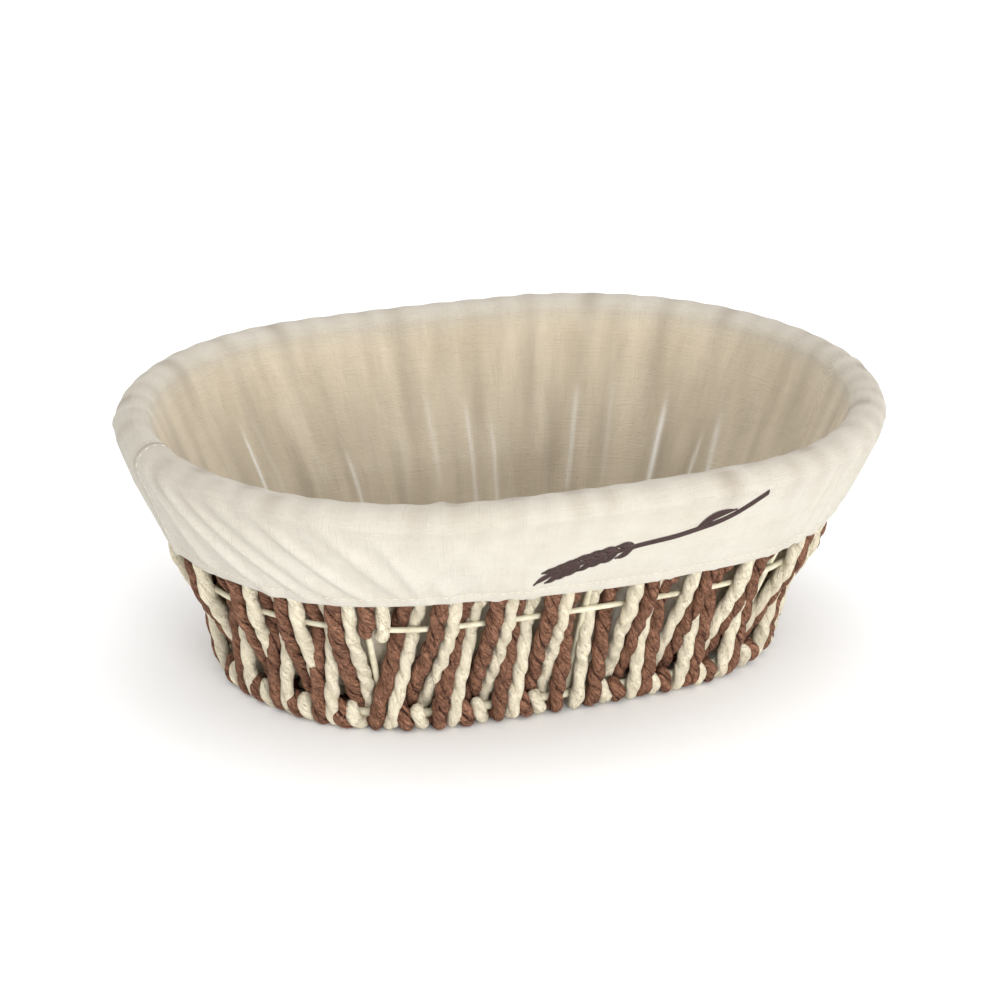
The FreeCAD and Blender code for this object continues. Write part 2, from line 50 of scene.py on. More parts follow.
MM = 0.001
SLOTS = 120
UPRIGHTS = 8
SECTOR_SLOTS = SLOTS // UPRIGHTS
SECTOR_ROPES = SECTOR_SLOTS - 1
GAP_SECTOR = 5
GAP_SECTOR_ROPES = SECTOR_ROPES + 1
CUT_ROPES = 2
SHIFTED_SECTORS = (6, 7)
SIDE_BULGE = 500.0
ROPE_RADIUS = 2.55
HIDDEN_ROPE_RADIUS = 1.95
CAD_ROPE_RADIUS = 2.0
ROPE_SEGMENTS = 20
ROPE_STEP = 1.0
UP = np.array([0.0, 0.0, 1.0])


# ---------- ovals
class Oval:
    """Two end arcs and two long side arcs that meet in tangents."""

    def __init__(self, half_length, half_width):
        excess = half_length - half_width
        self.end_centre = excess * (2 * SIDE_BULGE - excess) / (2 * (SIDE_BULGE - excess))
        self.end_radius = half_length - self.end_centre
        self.side_radius = half_width + SIDE_BULGE
        self.join = math.atan2(SIDE_BULGE, self.end_centre)
        self.end_arc = self.end_radius * self.join
        self.side_arc = self.side_radius * (math.pi / 2 - self.join)
        self.perimeter = 4 * (self.end_arc + self.side_arc)

    def points(self, fraction):
        """x, y and the outward direction's x, y at each fraction."""
        quarter = self.perimeter / 4
        along = np.mod(fraction, 1.0) * self.perimeter
        turn = np.minimum((along // quarter).astype(int), 3)
        rest = along - turn * quarter
        rest = np.where(turn % 2 == 1, quarter - rest, rest)
        on_end = rest <= self.end_arc
        angle = np.where(on_end, rest / self.end_radius,
                         self.join + (rest - self.end_arc) / self.side_radius)
        radius = np.where(on_end, self.end_radius, self.side_radius)
        x = radius * np.cos(angle) + np.where(on_end, self.end_centre, 0.0)
        y = radius * np.sin(angle) - np.where(on_end, 0.0, SIDE_BULGE)
        flip_x = np.where((turn == 1) | (turn == 2), -1.0, 1.0)
        flip_y = np.where(turn >= 2, -1.0, 1.0)
        return x * flip_x, y * flip_y, np.cos(angle) * flip_x, np.sin(angle) * flip_y

    def spot(self, fraction):
        x, y, nx, ny = (float(value) for value in self.points(np.asarray(fraction)))
        return np.array([x, y, 0.0]), np.array([nx, ny, 0.0])

    def outside(self, x, y):
        x, y = abs(x), abs(y)
        if math.atan2(y, x - self.end_centre) <= self.join:
            return math.hypot(x - self.end_centre, y) - self.end_radius
        return math.hypot(x, y + SIDE_BULGE) - self.side_radius


class WireRing:
    """A ring of the CAD frame: its centreline oval, height and wire radius."""

    def __init__(self, node):
        low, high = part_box(node)
        self.wire = (high[2] - low[2]) / 2 / MM
        self.half_length = high[0] / MM - self.wire
        self.half_width = high[1] / MM - self.wire
        self.height = (high[2] + low[2]) / 2 / MM
        self.oval = Oval(self.half_length, self.half_width)


rim = WireRing("rim_wire")
middle = WireRing("middle_wire")
base = WireRing("base_wire")


def wall_size(height, outward=0.0):
    """Half length and half width of the wall line at a height, moved outward."""
    low, high = (middle, rim) if height >= middle.height else (base, middle)
    share = (height - low.height) / (high.height - low.height)
    return (low.half_length + share * (high.half_length - low.half_length) + outward,
            low.half_width + share * (high.half_width - low.half_width) + outward)


# ---------- mesh helpers
def make_piece(name, vertices, faces, material, body, attributes):
    """A mesh piece from millimetre vertices, riding on a CAD body."""
    mesh = bpy.data.meshes.new(name)
    mesh.from_pydata((np.asarray(vertices) * MM).tolist(), [], [list(face) for face in faces])
    mesh.validate()
    for key, values in attributes.items():
        values = np.asarray(values, dtype=np.float32)
        kind = "FLOAT_VECTOR" if values.ndim == 2 else "FLOAT"
        layer = mesh.attributes.new(key, kind, "POINT")
        layer.data.foreach_set("vector" if values.ndim == 2 else "value", values.ravel())
    mesh.shade_smooth()
    mesh.materials.append(material)
    piece = bpy.data.objects.new(name, mesh)
    bpy.context.scene.collection.objects.link(piece)
    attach(piece, body)
    return piece


def grid_faces(rows, columns, closed):
    """Quads of a grid whose columns may close into a ring."""
    faces = []
    wide = columns if closed else columns - 1
    for row in range(rows - 1):
        for column in range(wide):
            right = (column + 1) % columns
            low, high = row * columns, (row + 1) * columns
            faces.append((low + column, low + right, high + right, high + column))
    return faces


def eased(part):
    """0 to 1 again, but level at both ends."""
    return part * part * (3 - 2 * part)


def bell(away, width):
    """1 in the middle, falling off on both sides."""
    return np.exp(-(away / width) ** 2)


def around(difference, whole):
    """The shorter way round a ring."""
    return (difference + whole / 2) % whole - whole / 2


def smooth_noise(rng, count, cells):
    """Seeded noise along a line, about -1 to 1, with one bump per cell."""
    knots = rng.uniform(-1, 1, cells + 3)
    at = np.linspace(0, cells, count)
    index = np.minimum(at.astype(int), cells)
    part = eased(at - index)
    return knots[index] * (1 - part) + knots[index + 1] * part


class MeshPile:
    """Collects tubes into one mesh."""

    def __init__(self):
        self.vertices, self.faces, self.count = [], [], 0
        self.attributes = {}

    def add(self, vertices, faces, attributes):
        self.vertices.append(vertices)
        self.faces.extend(tuple(index + self.count for index in face) for face in faces)
        self.count += len(vertices)
        for key, values in attributes.items():
            self.attributes.setdefault(key, []).append(values)

    def piece(self, name, material, body, slot):
        joined = {key: np.concatenate(values) for key, values in self.attributes.items()}
        return make_piece(name, np.concatenate(self.vertices), self.faces, material, body, joined)


def frames_along(path):
    """Tangents and two side directions that don't spin, along a path."""
    tangent = np.gradient(path, axis=0)
    tangent /= np.linalg.norm(tangent, axis=1)[:, None]
    side = np.cross(tangent[0], UP if abs(tangent[0][2]) < 0.9 else np.array([1.0, 0, 0]))
    sides = []
    for direction in tangent:
        side = side - direction * np.dot(side, direction)
        side /= np.linalg.norm(side)
        sides.append(side)
    sides = np.array(sides)
    return tangent, sides, np.cross(tangent, sides)


def tube_mesh(path, radii, segments):
    """Ring vertices of a tube; radii is (points,) or (points, segments)."""
    _, side, over = frames_along(path)
    angle = np.linspace(0, 2 * math.pi, segments, endpoint=False)
    radii = np.broadcast_to(np.asarray(radii).reshape(len(path), -1), (len(path), segments))
    ring = side[:, None, :] * np.cos(angle)[None, :, None] + over[:, None, :] * np.sin(angle)[None, :, None]
    vertices = (path[:, None, :] + ring * radii[:, :, None]).reshape(-1, 3)
    faces = grid_faces(len(path), segments, True)
    faces = [face[::-1] for face in faces]
    faces.append(tuple(range(segments)))
    faces.append(tuple(len(path) * segments - 1 - index for index in range(segments)))
    return vertices, faces


# ---------- paper rope
LOBE_PITCH = 19.0
ROPE_END_ROUNDING = 1.8
TABLE = 0.1


def crease_depth(local, centre, width):
    """1 along a line that runs round with the twist, falling off beside it."""
    return bell(np.angle(np.exp(1j * (local - centre))), width)


def rope_mesh(path, radius, rng, crumple=1.0):
    """Twisted paper cord: two lobes with a deep crease between them, smaller
    creases, lumps, and rounded cut ends. radius is one number or one per point."""
    count = len(path)
    length = np.concatenate([[0], np.cumsum(np.linalg.norm(np.diff(path, axis=0), axis=1))])
    cells = max(3, int(length[-1] / 9))
    angle = np.linspace(0, 2 * math.pi, ROPE_SEGMENTS, endpoint=False)[None, :]
    spin = -2 * math.pi * length / LOBE_PITCH + rng.uniform(0, 6.28) + 0.7 * smooth_noise(rng, count, cells)
    local = angle - spin[:, None]
    swell = 1 + 0.05 * smooth_noise(rng, count, cells) + 0.03 * smooth_noise(rng, count, 3 * cells)
    lobes = 0.10 + 0.03 * smooth_noise(rng, count, cells)
    shape = swell[:, None] * (1 + lobes[:, None] * np.cos(2 * local))
    crease = np.zeros_like(shape)
    for side in (1, 3):
        depth = np.clip(0.65 + 0.5 * smooth_noise(rng, count, 2 * cells), 0, 1)[:, None]
        line = depth * crease_depth(local, side * math.pi / 2 + rng.uniform(-0.3, 0.3), 0.22)
        shape -= 0.20 * crumple * line
        crease = np.maximum(crease, line)
    fine = angle + 2.6 * spin[:, None]
    for _ in range(3):
        depth = np.clip(0.1 + 0.9 * smooth_noise(rng, count, 3 * cells), 0, 1)[:, None]
        line = depth * crease_depth(fine, rng.uniform(0, 6.28), 0.3)
        shape -= 0.10 * crumple * line
        crease = np.maximum(crease, 0.75 * line)
    dents = smooth_noise(rng, count, 4 * cells)[:, None] * np.cos(3 * angle + rng.uniform(0, 6.28))
    shape += 0.035 * crumple * dents + 0.010 * rng.standard_normal(shape.shape)
    to_end = np.minimum(length, length[-1] - length)
    rounding = np.sqrt(np.clip(1 - (1 - np.clip(to_end / ROPE_END_ROUNDING, 0, 1)) ** 2, 0.06, 1))
    thick = np.broadcast_to(np.asarray(radius), (count,)) * rounding
    vertices, faces = tube_mesh(path, thick[:, None] * shape, ROPE_SEGMENTS)
    vertices[:, 2] = np.where(vertices[:, 2] < TABLE, TABLE + 0.1 * (vertices[:, 2] - TABLE), vertices[:, 2])
    offset = rng.uniform(0, 200)
    mean = float(np.mean(radius))
    fibre = np.stack([
        mean * np.cos(local), mean * np.sin(local),
        np.broadcast_to(0.38 * length[:, None] + offset, local.shape),
    ], axis=2).reshape(-1, 3)
    # crease tells the material where to paint crease shade.
    return vertices, faces, {
        "crease": crease.ravel(),
        "tint": np.full(crease.size, rng.uniform(0, 1)),
        "fibre": fibre,
    }


def belt_path(stops, first_turn, last_turn):
    """A rope held by round bars. Returns (across, height) points and, at each,
    how far it is along: 0 start, 1 leaves the first bar, 2 at the second bar,
    3 meets the last bar, 4 end."""
    runs = []
    for (x0, z0, r0, s0), (x1, z1, r1, s1) in zip(stops, stops[1:]):
        heading = math.atan2(z1 - z0, x1 - x0)
        heading -= math.asin((s1 * r1 - s0 * r0) / math.hypot(x1 - x0, z1 - z0))
        left = np.array([-math.sin(heading), math.cos(heading)])
        runs.append((np.array([x0, z0]) - s0 * r0 * left, np.array([x1, z1]) - s1 * r1 * left))
    pieces, marks = [], []

    def add(points, begin, end):
        pieces.append(points)
        marks.append(np.linspace(begin, end, len(points)))

    def arc(stop, begin, turn, mark_begin, mark_end):
        steps = max(2, int(abs(turn) * stop[2] / ROPE_STEP) + 1)
        at = begin + np.linspace(0, turn, steps)
        spots = [stop[0] + stop[2] * np.cos(at), stop[1] + stop[2] * np.sin(at)]
        add(np.stack(spots, 1), mark_begin, mark_end)

    def bearing(stop, spot):
        return math.atan2(spot[1] - stop[1], spot[0] - stop[0])

    if first_turn:
        end = bearing(stops[0], runs[0][0])
        arc(stops[0], end - stops[0][3] * first_turn, stops[0][3] * first_turn, 0, 1)
    for number, (start, finish) in enumerate(runs):
        steps = max(2, int(np.linalg.norm(finish - start) / ROPE_STEP))
        share = np.linspace(0, 1, steps + 1)[1:-1, None]
        last = number == len(runs) - 1
        offset = 3 - len(runs)
        add(start + (finish - start) * share, offset + number, offset + number + 1)
        stop = stops[number + 1]
        begin = bearing(stop, finish)
        if not last:
            turn = (bearing(stop, runs[number + 1][0]) - begin + math.pi) % (2 * math.pi) - math.pi
            arc(stop, begin, turn, 2, 2)
        elif last_turn:
            arc(stop, begin, stop[3] * last_turn, 3, 4)
    return np.concatenate(pieces), np.concatenate(marks)


def wall_plane(foot_slot, head_slot):
    """Foot point, outward direction, and the rings' distances along it."""
    foot, _ = base.oval.spot(foot_slot / SLOTS)
    head, _ = rim.oval.spot(head_slot / SLOTS)
    reach = float(np.linalg.norm(head - foot))
    outward = (head - foot) / reach
    low, high = 0.0, reach
    for _ in range(30):
        half = (low + high) / 2
        x, y, _ = foot + outward * half
        if middle.oval.outside(x, y) > 0:
            high = half
        else:
            low = half
    return foot, outward, low, reach


def hold(ring, radius=CAD_ROPE_RADIUS):
    return ring.wire + radius + 0.1


CUFF_COVERS = 2.3
CUFF_COVERS_OVER = 0.2


def hidden_under_cuff(marks, radius):
    """Thinner where the cuff covers the rope."""
    share = np.clip((marks - CUFF_COVERS) / CUFF_COVERS_OVER, 0, 1)
    return radius + (HIDDEN_ROPE_RADIUS - radius) * eased(share)


def relaxed_path(plane, flat, marks, sideways, rng, wobble):
    """Turns a flat belt into space and lets it sway sideways between the bars.
    sideways gives the sway at marks 0 to 4."""
    foot, outward, _, _ = plane
    along = np.array([-outward[1], outward[0], 0.0])
    cell = np.minimum(marks.astype(int), 3)
    part = eased(marks - cell)
    sideways = np.asarray(sideways)
    sway = sideways[cell] * (1 - part) + sideways[cell + 1] * part
    free = np.sin(np.clip(marks, 1, 3) * math.pi) ** 2
    sway = sway + wobble * free * smooth_noise(rng, len(marks), 5)
    lift = 0.35 * wobble * free * smooth_noise(rng, len(marks), 6)
    return (foot + np.outer(flat[:, 0] + lift, outward) + np.outer(flat[:, 1], UP) + np.outer(sway, along))


def finish_rope(path, marks, radius, rng, crumple):
    """Softens the bends, spaces the points evenly and makes the mesh."""
    for _ in range(2):
        path = np.concatenate([path[:1], (path[:-2] + 2 * path[1:-1] + path[2:]) / 4, path[-1:]])
    length = np.concatenate([[0], np.cumsum(np.linalg.norm(np.diff(path, axis=0), axis=1))])
    at = np.linspace(0, length[-1], int(length[-1] / ROPE_STEP) + 2)
    even = np.stack([np.interp(at, length, path[:, axis]) for axis in range(3)], 1)
    return rope_mesh(even, hidden_under_cuff(np.interp(at, length, marks), radius), rng, crumple)


# How far a rope goes round the wires at its foot (outside or wrapped) and head,
# and the share of its radius that is left between it and the middle wire.
OUTER_TURN = math.radians(115)
WRAP_TURN = math.radians(290)
RIM_TURN = math.radians(185)
MIDDLE_SQUEEZE = 0.78
WRAP_SLANT = 0.6
ROPE_WOBBLE = 0.8
FOOT_PITCH = base.oval.perimeter / SLOTS
MIDDLE_PITCH = middle.oval.perimeter / SLOTS


def wall_rope(foot, waist, head, side, thick, rng, crumple):
    """side 1: outside the base and rim wires, behind the middle wire.
    side -1: in front of the middle wire, then inside the base wire and once
    round it, which leaves a short slanting wrap outside. waist is the slot
    where it passes the middle wire."""
    radius = thick * rng.uniform(0.95, 1.06)
    plane = wall_plane(foot, head)
    bend = MIDDLE_PITCH * (waist - foot - (head - foot) * plane[2] / plane[3])
    stops = [
        (0.0, base.height, hold(base), side),
        (plane[2], middle.height, hold(middle, MIDDLE_SQUEEZE * radius), -side),
        (plane[3], rim.height, hold(rim), side),
    ]
    flat, marks = belt_path(stops, OUTER_TURN if side > 0 else WRAP_TURN, RIM_TURN)
    lean = [bend + rng.uniform(-0.4, 0.4), 0.4 * bend + rng.uniform(-0.4, 0.4)]
    if side > 0:
        sideways = [0.3, 0.0, *lean, 0.0]
    else:
        sideways = [-WRAP_SLANT * FOOT_PITCH, WRAP_SLANT * FOOT_PITCH, *lean, 0.0]
    path = relaxed_path(plane, flat, marks, sideways, rng, ROPE_WOBBLE)
    return finish_rope(path, marks, radius, rng, crumple)


def rope_slots(sector, step):
    """Foot, waist and head of a rope, in slots from the sector's upright. They
    stand evenly, but beside the gap one more fits in and the feet close up."""
    even = step + 1
    if sector == GAP_SECTOR - 1:
        pair = (SECTOR_ROPES - 1 - step) // 2
        shift = min(0.12 + 0.27 * pair, 1.2, 2.7 - 0.33 * pair)
        return even * 0.95, even + shift, even + shift
    if sector == GAP_SECTOR + 1:
        crowd = 0.75 * math.exp(-step / 1.5)
        return even - crowd, even - 0.8 * crowd, even - 0.6 * crowd
    if sector != GAP_SECTOR:
        return even, even, even
    share = (step - CUT_ROPES) / (GAP_SECTOR_ROPES - 1 - CUT_ROPES)
    first, last = (-0.75, 1.95, 4.0), (13.5, 13.75, 14.1)
    return tuple(low + share * (high - low) for low, high in zip(first, last))


# ---------- materials
def new_material(name):
    material = bpy.data.materials.new(name)
    material.use_nodes = True
    nodes, links = material.node_tree.nodes, material.node_tree.links
    shader = nodes["Principled BSDF"]
    return material, nodes, links, shader


def node(nodes, kind, **values):
    item = nodes.new(kind)
    for key, value in values.items():
        setattr(item, key, value)
    return item


def attribute(nodes, name):
    return node(nodes, "ShaderNodeAttribute", attribute_name=name)


def mix_colour(nodes, links, factor, first, second, blend="MIX"):
    item = node(nodes, "ShaderNodeMix", data_type="RGBA", blend_type=blend)
    for socket, value in ((0, factor), (6, first), (7, second)):
        if isinstance(value, (int, float)):
            item.inputs[socket].default_value = value
        elif isinstance(value, tuple):
            item.inputs[socket].default_value = (*value, 1.0)
        else:
            links.new(value, item.inputs[socket])
    return item.outputs[2]


def ramp(nodes, links, value, low, high):
    item = node(nodes, "ShaderNodeMapRange", interpolation_type="SMOOTHSTEP")
    item.inputs["From Min"].default_value = low
    item.inputs["From Max"].default_value = high
    links.new(value, item.inputs["Value"])
    return item.outputs["Result"]


def noise(nodes, links, vector, scale, detail=3.0, roughness=0.55):
    item = node(nodes, "ShaderNodeTexNoise")
    item.inputs["Scale"].default_value = scale
    item.inputs["Detail"].default_value = detail
    item.inputs["Roughness"].default_value = roughness
    if vector is not None:
        links.new(vector, item.inputs["Vector"])
    return item.outputs["Fac"]


def bump(nodes, links, height, distance, strength=1.0, under=None):
    item = node(nodes, "ShaderNodeBump")
    item.inputs["Distance"].default_value = distance
    item.inputs["Strength"].default_value = strength
    links.new(height, item.inputs["Height"])
    if under is not None:
        links.new(under, item.inputs["Normal"])
    return item.outputs["Normal"]


def maths(nodes, links, operation, first, second=None):
    item = node(nodes, "ShaderNodeMath", operation=operation)
    for socket, value in enumerate((first, second)):
        if isinstance(value, (int, float)):
            item.inputs[socket].default_value = value
        elif value is not None:
            links.new(value, item.inputs[socket])
    return item.outputs[0]


def wrinkles(nodes, links, vector, scale, width):
    """Thin lines where a noise passes its middle value."""
    field = noise(nodes, links, vector, scale, 2.0, 0.5)
    away = maths(nodes, links, "ABSOLUTE", maths(nodes, links, "SUBTRACT", field, 0.5))
    return maths(nodes, links, "SUBTRACT", 1.0, ramp(nodes, links, away, 0.0, width))


def rope_material(name, dark, light, crease_shade_colour, wrinkle_share, crease_full):
    """Crumpled paper: streaks along the twisted fibres, with painted shade in the creases and along the
    wrinkle lines.
    """
    material, nodes, links, shader = new_material(name)
    fibre = attribute(nodes, "fibre").outputs["Vector"]
    streak = noise(nodes, links, fibre, 1.1, 4.0, 0.6)
    fine = noise(nodes, links, fibre, 3.4, 3.0, 0.65)
    colour = mix_colour(nodes, links, ramp(nodes, links, streak, 0.3, 0.72), dark, light)
    # Wrinkle lines are painted in the crease colour, as painted shade.
    wrinkle = wrinkles(nodes, links, fibre, 0.75, 0.035)
    small_wrinkle = wrinkles(nodes, links, fibre, 1.9, 0.05)
    lines = maths(nodes, links, "MAXIMUM", wrinkle, maths(nodes, links, "MULTIPLY", small_wrinkle, 0.55))
    shade_shown = maths(nodes, links, "MULTIPLY", lines, wrinkle_share)
    colour = mix_colour(nodes, links, shade_shown, colour, crease_shade_colour)
    tint = attribute(nodes, "tint").outputs["Fac"]
    darker = tuple(channel * 0.8 for channel in dark)
    colour = mix_colour(nodes, links, ramp(nodes, links, tint, 0.3, 2.6), colour, darker)
    # The mesh's creases get painted shade in the crease colour.
    crease = attribute(nodes, "crease").outputs["Fac"]
    in_crease = ramp(nodes, links, crease, 0.15, crease_full)
    colour = mix_colour(nodes, links, in_crease, colour, crease_shade_colour)
    links.new(colour, shader.inputs["Base Color"])
    shader.inputs["Roughness"].default_value = 0.85
    shader.inputs["Specular IOR Level"].default_value = 0.25
    relief = maths(nodes, links, "SUBTRACT", streak, maths(nodes, links, "MULTIPLY", lines, 0.5))
    coarse = bump(nodes, links, relief, 0.0012, 0.8)
    links.new(bump(nodes, links, fine, 0.0006, 0.7, coarse), shader.inputs["Normal"])
    return material


# Each paper's third colour is its painted crease shade.
BROWN = rope_material("brown_paper", (0.165, 0.070, 0.038), (0.385, 0.190, 0.115), (0.030, 0.009, 0.005),
                      0.8, 0.75)
CREAM = rope_material("cream_paper", (0.800, 0.710, 0.520), (0.920, 0.840, 0.660), (0.500, 0.400, 0.250),
                      0.08, 1.6)


def wire_material():
    """Cream lacquer over wire, slightly worn and uneven."""
    material, nodes, links, shader = new_material("cream_wire")
    place = node(nodes, "ShaderNodeTexCoord").outputs["Object"]
    patch = noise(nodes, links, place, 260.0, 4.0)
    worn = ramp(nodes, links, patch, 0.35, 0.75)
    colour = mix_colour(nodes, links, worn, (0.68, 0.64, 0.48), (0.52, 0.47, 0.33))
    links.new(colour, shader.inputs["Base Color"])
    links.new(ramp(nodes, links, patch, -0.6, 1.9), shader.inputs["Roughness"])
    links.new(bump(nodes, links, patch, 0.0002, 0.4), shader.inputs["Normal"])
    return material


WIRE = wire_material()


def cloth_material():
    """Thin unbleached cotton. The ropes behind it show through as soft bands of painted shade; the inner
    face gets a painted darker tone, and bright streaks of painted light lie between the ropes low in the
    wall.
    """
    material, nodes, links, shader = new_material("cotton")
    weave = attribute(nodes, "weave").outputs["Vector"]
    def stretched(x_scale, y_scale, scale):
        mapping = node(nodes, "ShaderNodeMapping")
        mapping.inputs["Scale"].default_value = (x_scale, y_scale, 1.0)
        links.new(weave, mapping.inputs["Vector"])
        return noise(nodes, links, mapping.outputs["Vector"], scale, 3.0)

    weft = stretched(0.06, 1.0, 1.3)
    warp = stretched(1.0, 0.06, 1.3)
    blotch = stretched(1.0, 1.0, 0.05)
    stained = ramp(nodes, links, blotch, 0.3, 0.75)
    colour = mix_colour(nodes, links, stained, (0.70, 0.665, 0.585), (0.66, 0.62, 0.53))
    colour = mix_colour(nodes, links, ramp(nodes, links, weft, 0.5, 1.2), colour, (0.60, 0.52, 0.40))
    colour = mix_colour(nodes, links, ramp(nodes, links, warp, 0.5, 1.4), colour, (0.60, 0.52, 0.40))
    # Painted shade: the inner face gets a darker, yellower copy of the cotton colour, in soft upright
    # patches.
    inside = attribute(nodes, "inside").outputs["Fac"]
    patches = ramp(nodes, links, stretched(1.0, 0.22, 0.07), 0.36, 0.66)
    painted_inside_shade = mix_colour(nodes, links, patches, (0.735, 0.640, 0.490), (0.610, 0.520, 0.385))
    colour = mix_colour(nodes, links, inside, colour, painted_inside_shade)
    painted_shade = attribute(nodes, "painted_shade").outputs["Fac"]
    # Painted shade: bands where brown ropes lie behind the cloth, a darker upper cuff and a dark line along
    # the seam groove.
    colour = mix_colour(nodes, links, painted_shade, colour, (0.36, 0.30, 0.235))
    # Painted light: bright streaks between the ropes, kept in the gap attribute.
    gap = attribute(nodes, "gap").outputs["Fac"]
    colour = mix_colour(nodes, links, gap, colour, (1.0, 0.98, 0.93))
    links.new(colour, shader.inputs["Base Color"])
    shader.inputs["Roughness"].default_value = 0.9
    shader.inputs["Specular IOR Level"].default_value = 0.15
    shader.inputs["Sheen Weight"].default_value = 0.15

    def wave(direction):
        item = node(nodes, "ShaderNodeTexWave", wave_type="BANDS", bands_direction=direction)
        item.inputs["Scale"].default_value = 0.62
        item.inputs["Distortion"].default_value = 0.6
        links.new(weave, item.inputs["Vector"])
        return item.outputs["Fac"]

    threads = node(nodes, "ShaderNodeMath", operation="ADD")
    links.new(wave("X"), threads.inputs[0])
    links.new(wave("Y"), threads.inputs[1])
    slubs = node(nodes, "ShaderNodeMath", operation="ADD")
    links.new(weft, slubs.inputs[0])
    links.new(warp, slubs.inputs[1])
    coarse = bump(nodes, links, slubs.outputs[0], 0.0006, 0.5)
    normal = bump(nodes, links, threads.outputs[0], 0.00015, 0.5, coarse)
    links.new(normal, shader.inputs["Normal"])
    glow = node(nodes, "ShaderNodeBsdfTranslucent")
    links.new(colour, glow.inputs["Color"])
    links.new(normal, glow.inputs["Normal"])
    mixed = node(nodes, "ShaderNodeMixShader")
    mixed.inputs[0].default_value = 0.2
    links.new(shader.outputs[0], mixed.inputs[1])
    links.new(glow.outputs[0], mixed.inputs[2])
    links.new(mixed.outputs[0], nodes["Material Output"].inputs["Surface"])
    return material


COTTON = cloth_material()


def thread_material(name, colour, pale, roughness=0.5):
    material, nodes, links, shader = new_material(name)
    place = node(nodes, "ShaderNodeTexCoord").outputs["Object"]
    strand = noise(nodes, links, place, 1800.0, 3.0)
    mixed = mix_colour(nodes, links, ramp(nodes, links, strand, 0.3, 0.8), colour, pale)
    links.new(mixed, shader.inputs["Base Color"])
    shader.inputs["Roughness"].default_value = roughness
    links.new(bump(nodes, links, strand, 0.0001, 0.5), shader.inputs["Normal"])
    return material


DARK_THREAD = thread_material("dark_brown_thread", (0.028, 0.012, 0.010), (0.075, 0.036, 0.030))
PALE_THREAD = thread_material("cotton_thread", (0.78, 0.72, 0.60), (0.62, 0.54, 0.41), 0.8)

for name in ("rim_wire", "middle_wire", "base_wire", "long_rib",
             "cross_rib_left", "cross_rib_middle", "cross_rib_right"):
    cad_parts[name].data.materials.clear()
    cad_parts[name].data.materials.append(WIRE)

# ---------- wall ropes
PAPERS = {"brown": BROWN, "cream": CREAM}
CRUMPLE = {"brown": 1.45, "cream": 0.55}
THICK = {"brown": 2.68, "cream": 2.42}
brown_lines = []


def rope_colour(sector, number):
    even, odd = ("cream", "brown") if sector in SHIFTED_SECTORS else ("brown", "cream")
    return odd if number % 2 else even


def hanging_tail(slot, rng):
    """A rope cut off just below the middle wire, in front of it."""
    radius = ROPE_RADIUS * 1.12
    plane = wall_plane(slot, slot)
    out = plane[2] + hold(middle, radius)
    stops = [(out, middle.height - 2.2, 0.0, 1), (out + 1.0, middle.height + 5, 0.0, 1),
             (plane[3], rim.height, hold(rim), -1)]
    flat, marks = belt_path(stops, 0.0, RIM_TURN)
    path = relaxed_path(plane, flat, marks, [-1.6, -1.2, 0.0, 2.4, 2.6], rng, 0.0)
    return finish_rope(path, marks, radius, rng, 1.2)


def knotted_tail(slot, rng):
    """A rope that ends tied once round the middle wire."""
    radius = ROPE_RADIUS * 0.95
    plane = wall_plane(slot, slot)
    stops = [(plane[2], middle.height, hold(middle, 0.55 * radius), 1),
             (plane[3], rim.height, hold(rim), -1)]
    flat, marks = belt_path(stops, math.radians(300), RIM_TURN)
    path = relaxed_path(plane, flat, marks, [-4.4, -2.0, -0.6, 0.4, 0.4], rng, 0.0)
    return finish_rope(path, marks, radius, rng, 0.6)


for sector in range(UPRIGHTS):
    piles = {"brown": MeshPile(), "cream": MeshPile()}
    start = sector * SECTOR_SLOTS
    for step in range(GAP_SECTOR_ROPES if sector == GAP_SECTOR else SECTOR_ROPES):
        number = sector * SECTOR_ROPES + step
        rng = np.random.default_rng(1000 + number + 7 * sector)
        colour = rope_colour(sector, number)
        before_middle_wire = (number % 4 >= 2) != (sector < GAP_SECTOR)
        side = -1 if before_middle_wire else 1
        if sector == GAP_SECTOR and step < CUT_ROPES:
            continue
        foot, waist, head = (start + slot for slot in rope_slots(sector, step))
        if colour == "brown":
            brown_lines.append((foot, head, side))
        piles[colour].add(*wall_rope(foot, waist, head, side, THICK[colour], rng, CRUMPLE[colour]))
    for colour, pile in piles.items():
        piece = pile.piece(f"{colour}_ropes_{sector + 1}", PAPERS[colour], "basket", f"{colour}_paper_rope")
        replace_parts(piece, f"wall_ropes_{colour}_{sector + 1}")

gap_start = GAP_SECTOR * SECTOR_SLOTS
pile = MeshPile()
pile.add(*hanging_tail(gap_start + 0.35, np.random.default_rng(51)))
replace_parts(pile.piece("brown_rope_tail", BROWN, "basket", "brown_paper_rope"), "rope_tail_brown")
pile = MeshPile()
pile.add(*knotted_tail(gap_start + 1.35, np.random.default_rng(52)))
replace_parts(pile.piece("cream_rope_knot", CREAM, "basket", "cream_paper_rope"), "rope_knot_cream")

# ---------- floor ropes
FLOOR_PITCH = 5.4
FLOOR_FIRST = 4.2
FLOOR_ROPES = 9
RIB_RADIUS = 1.2
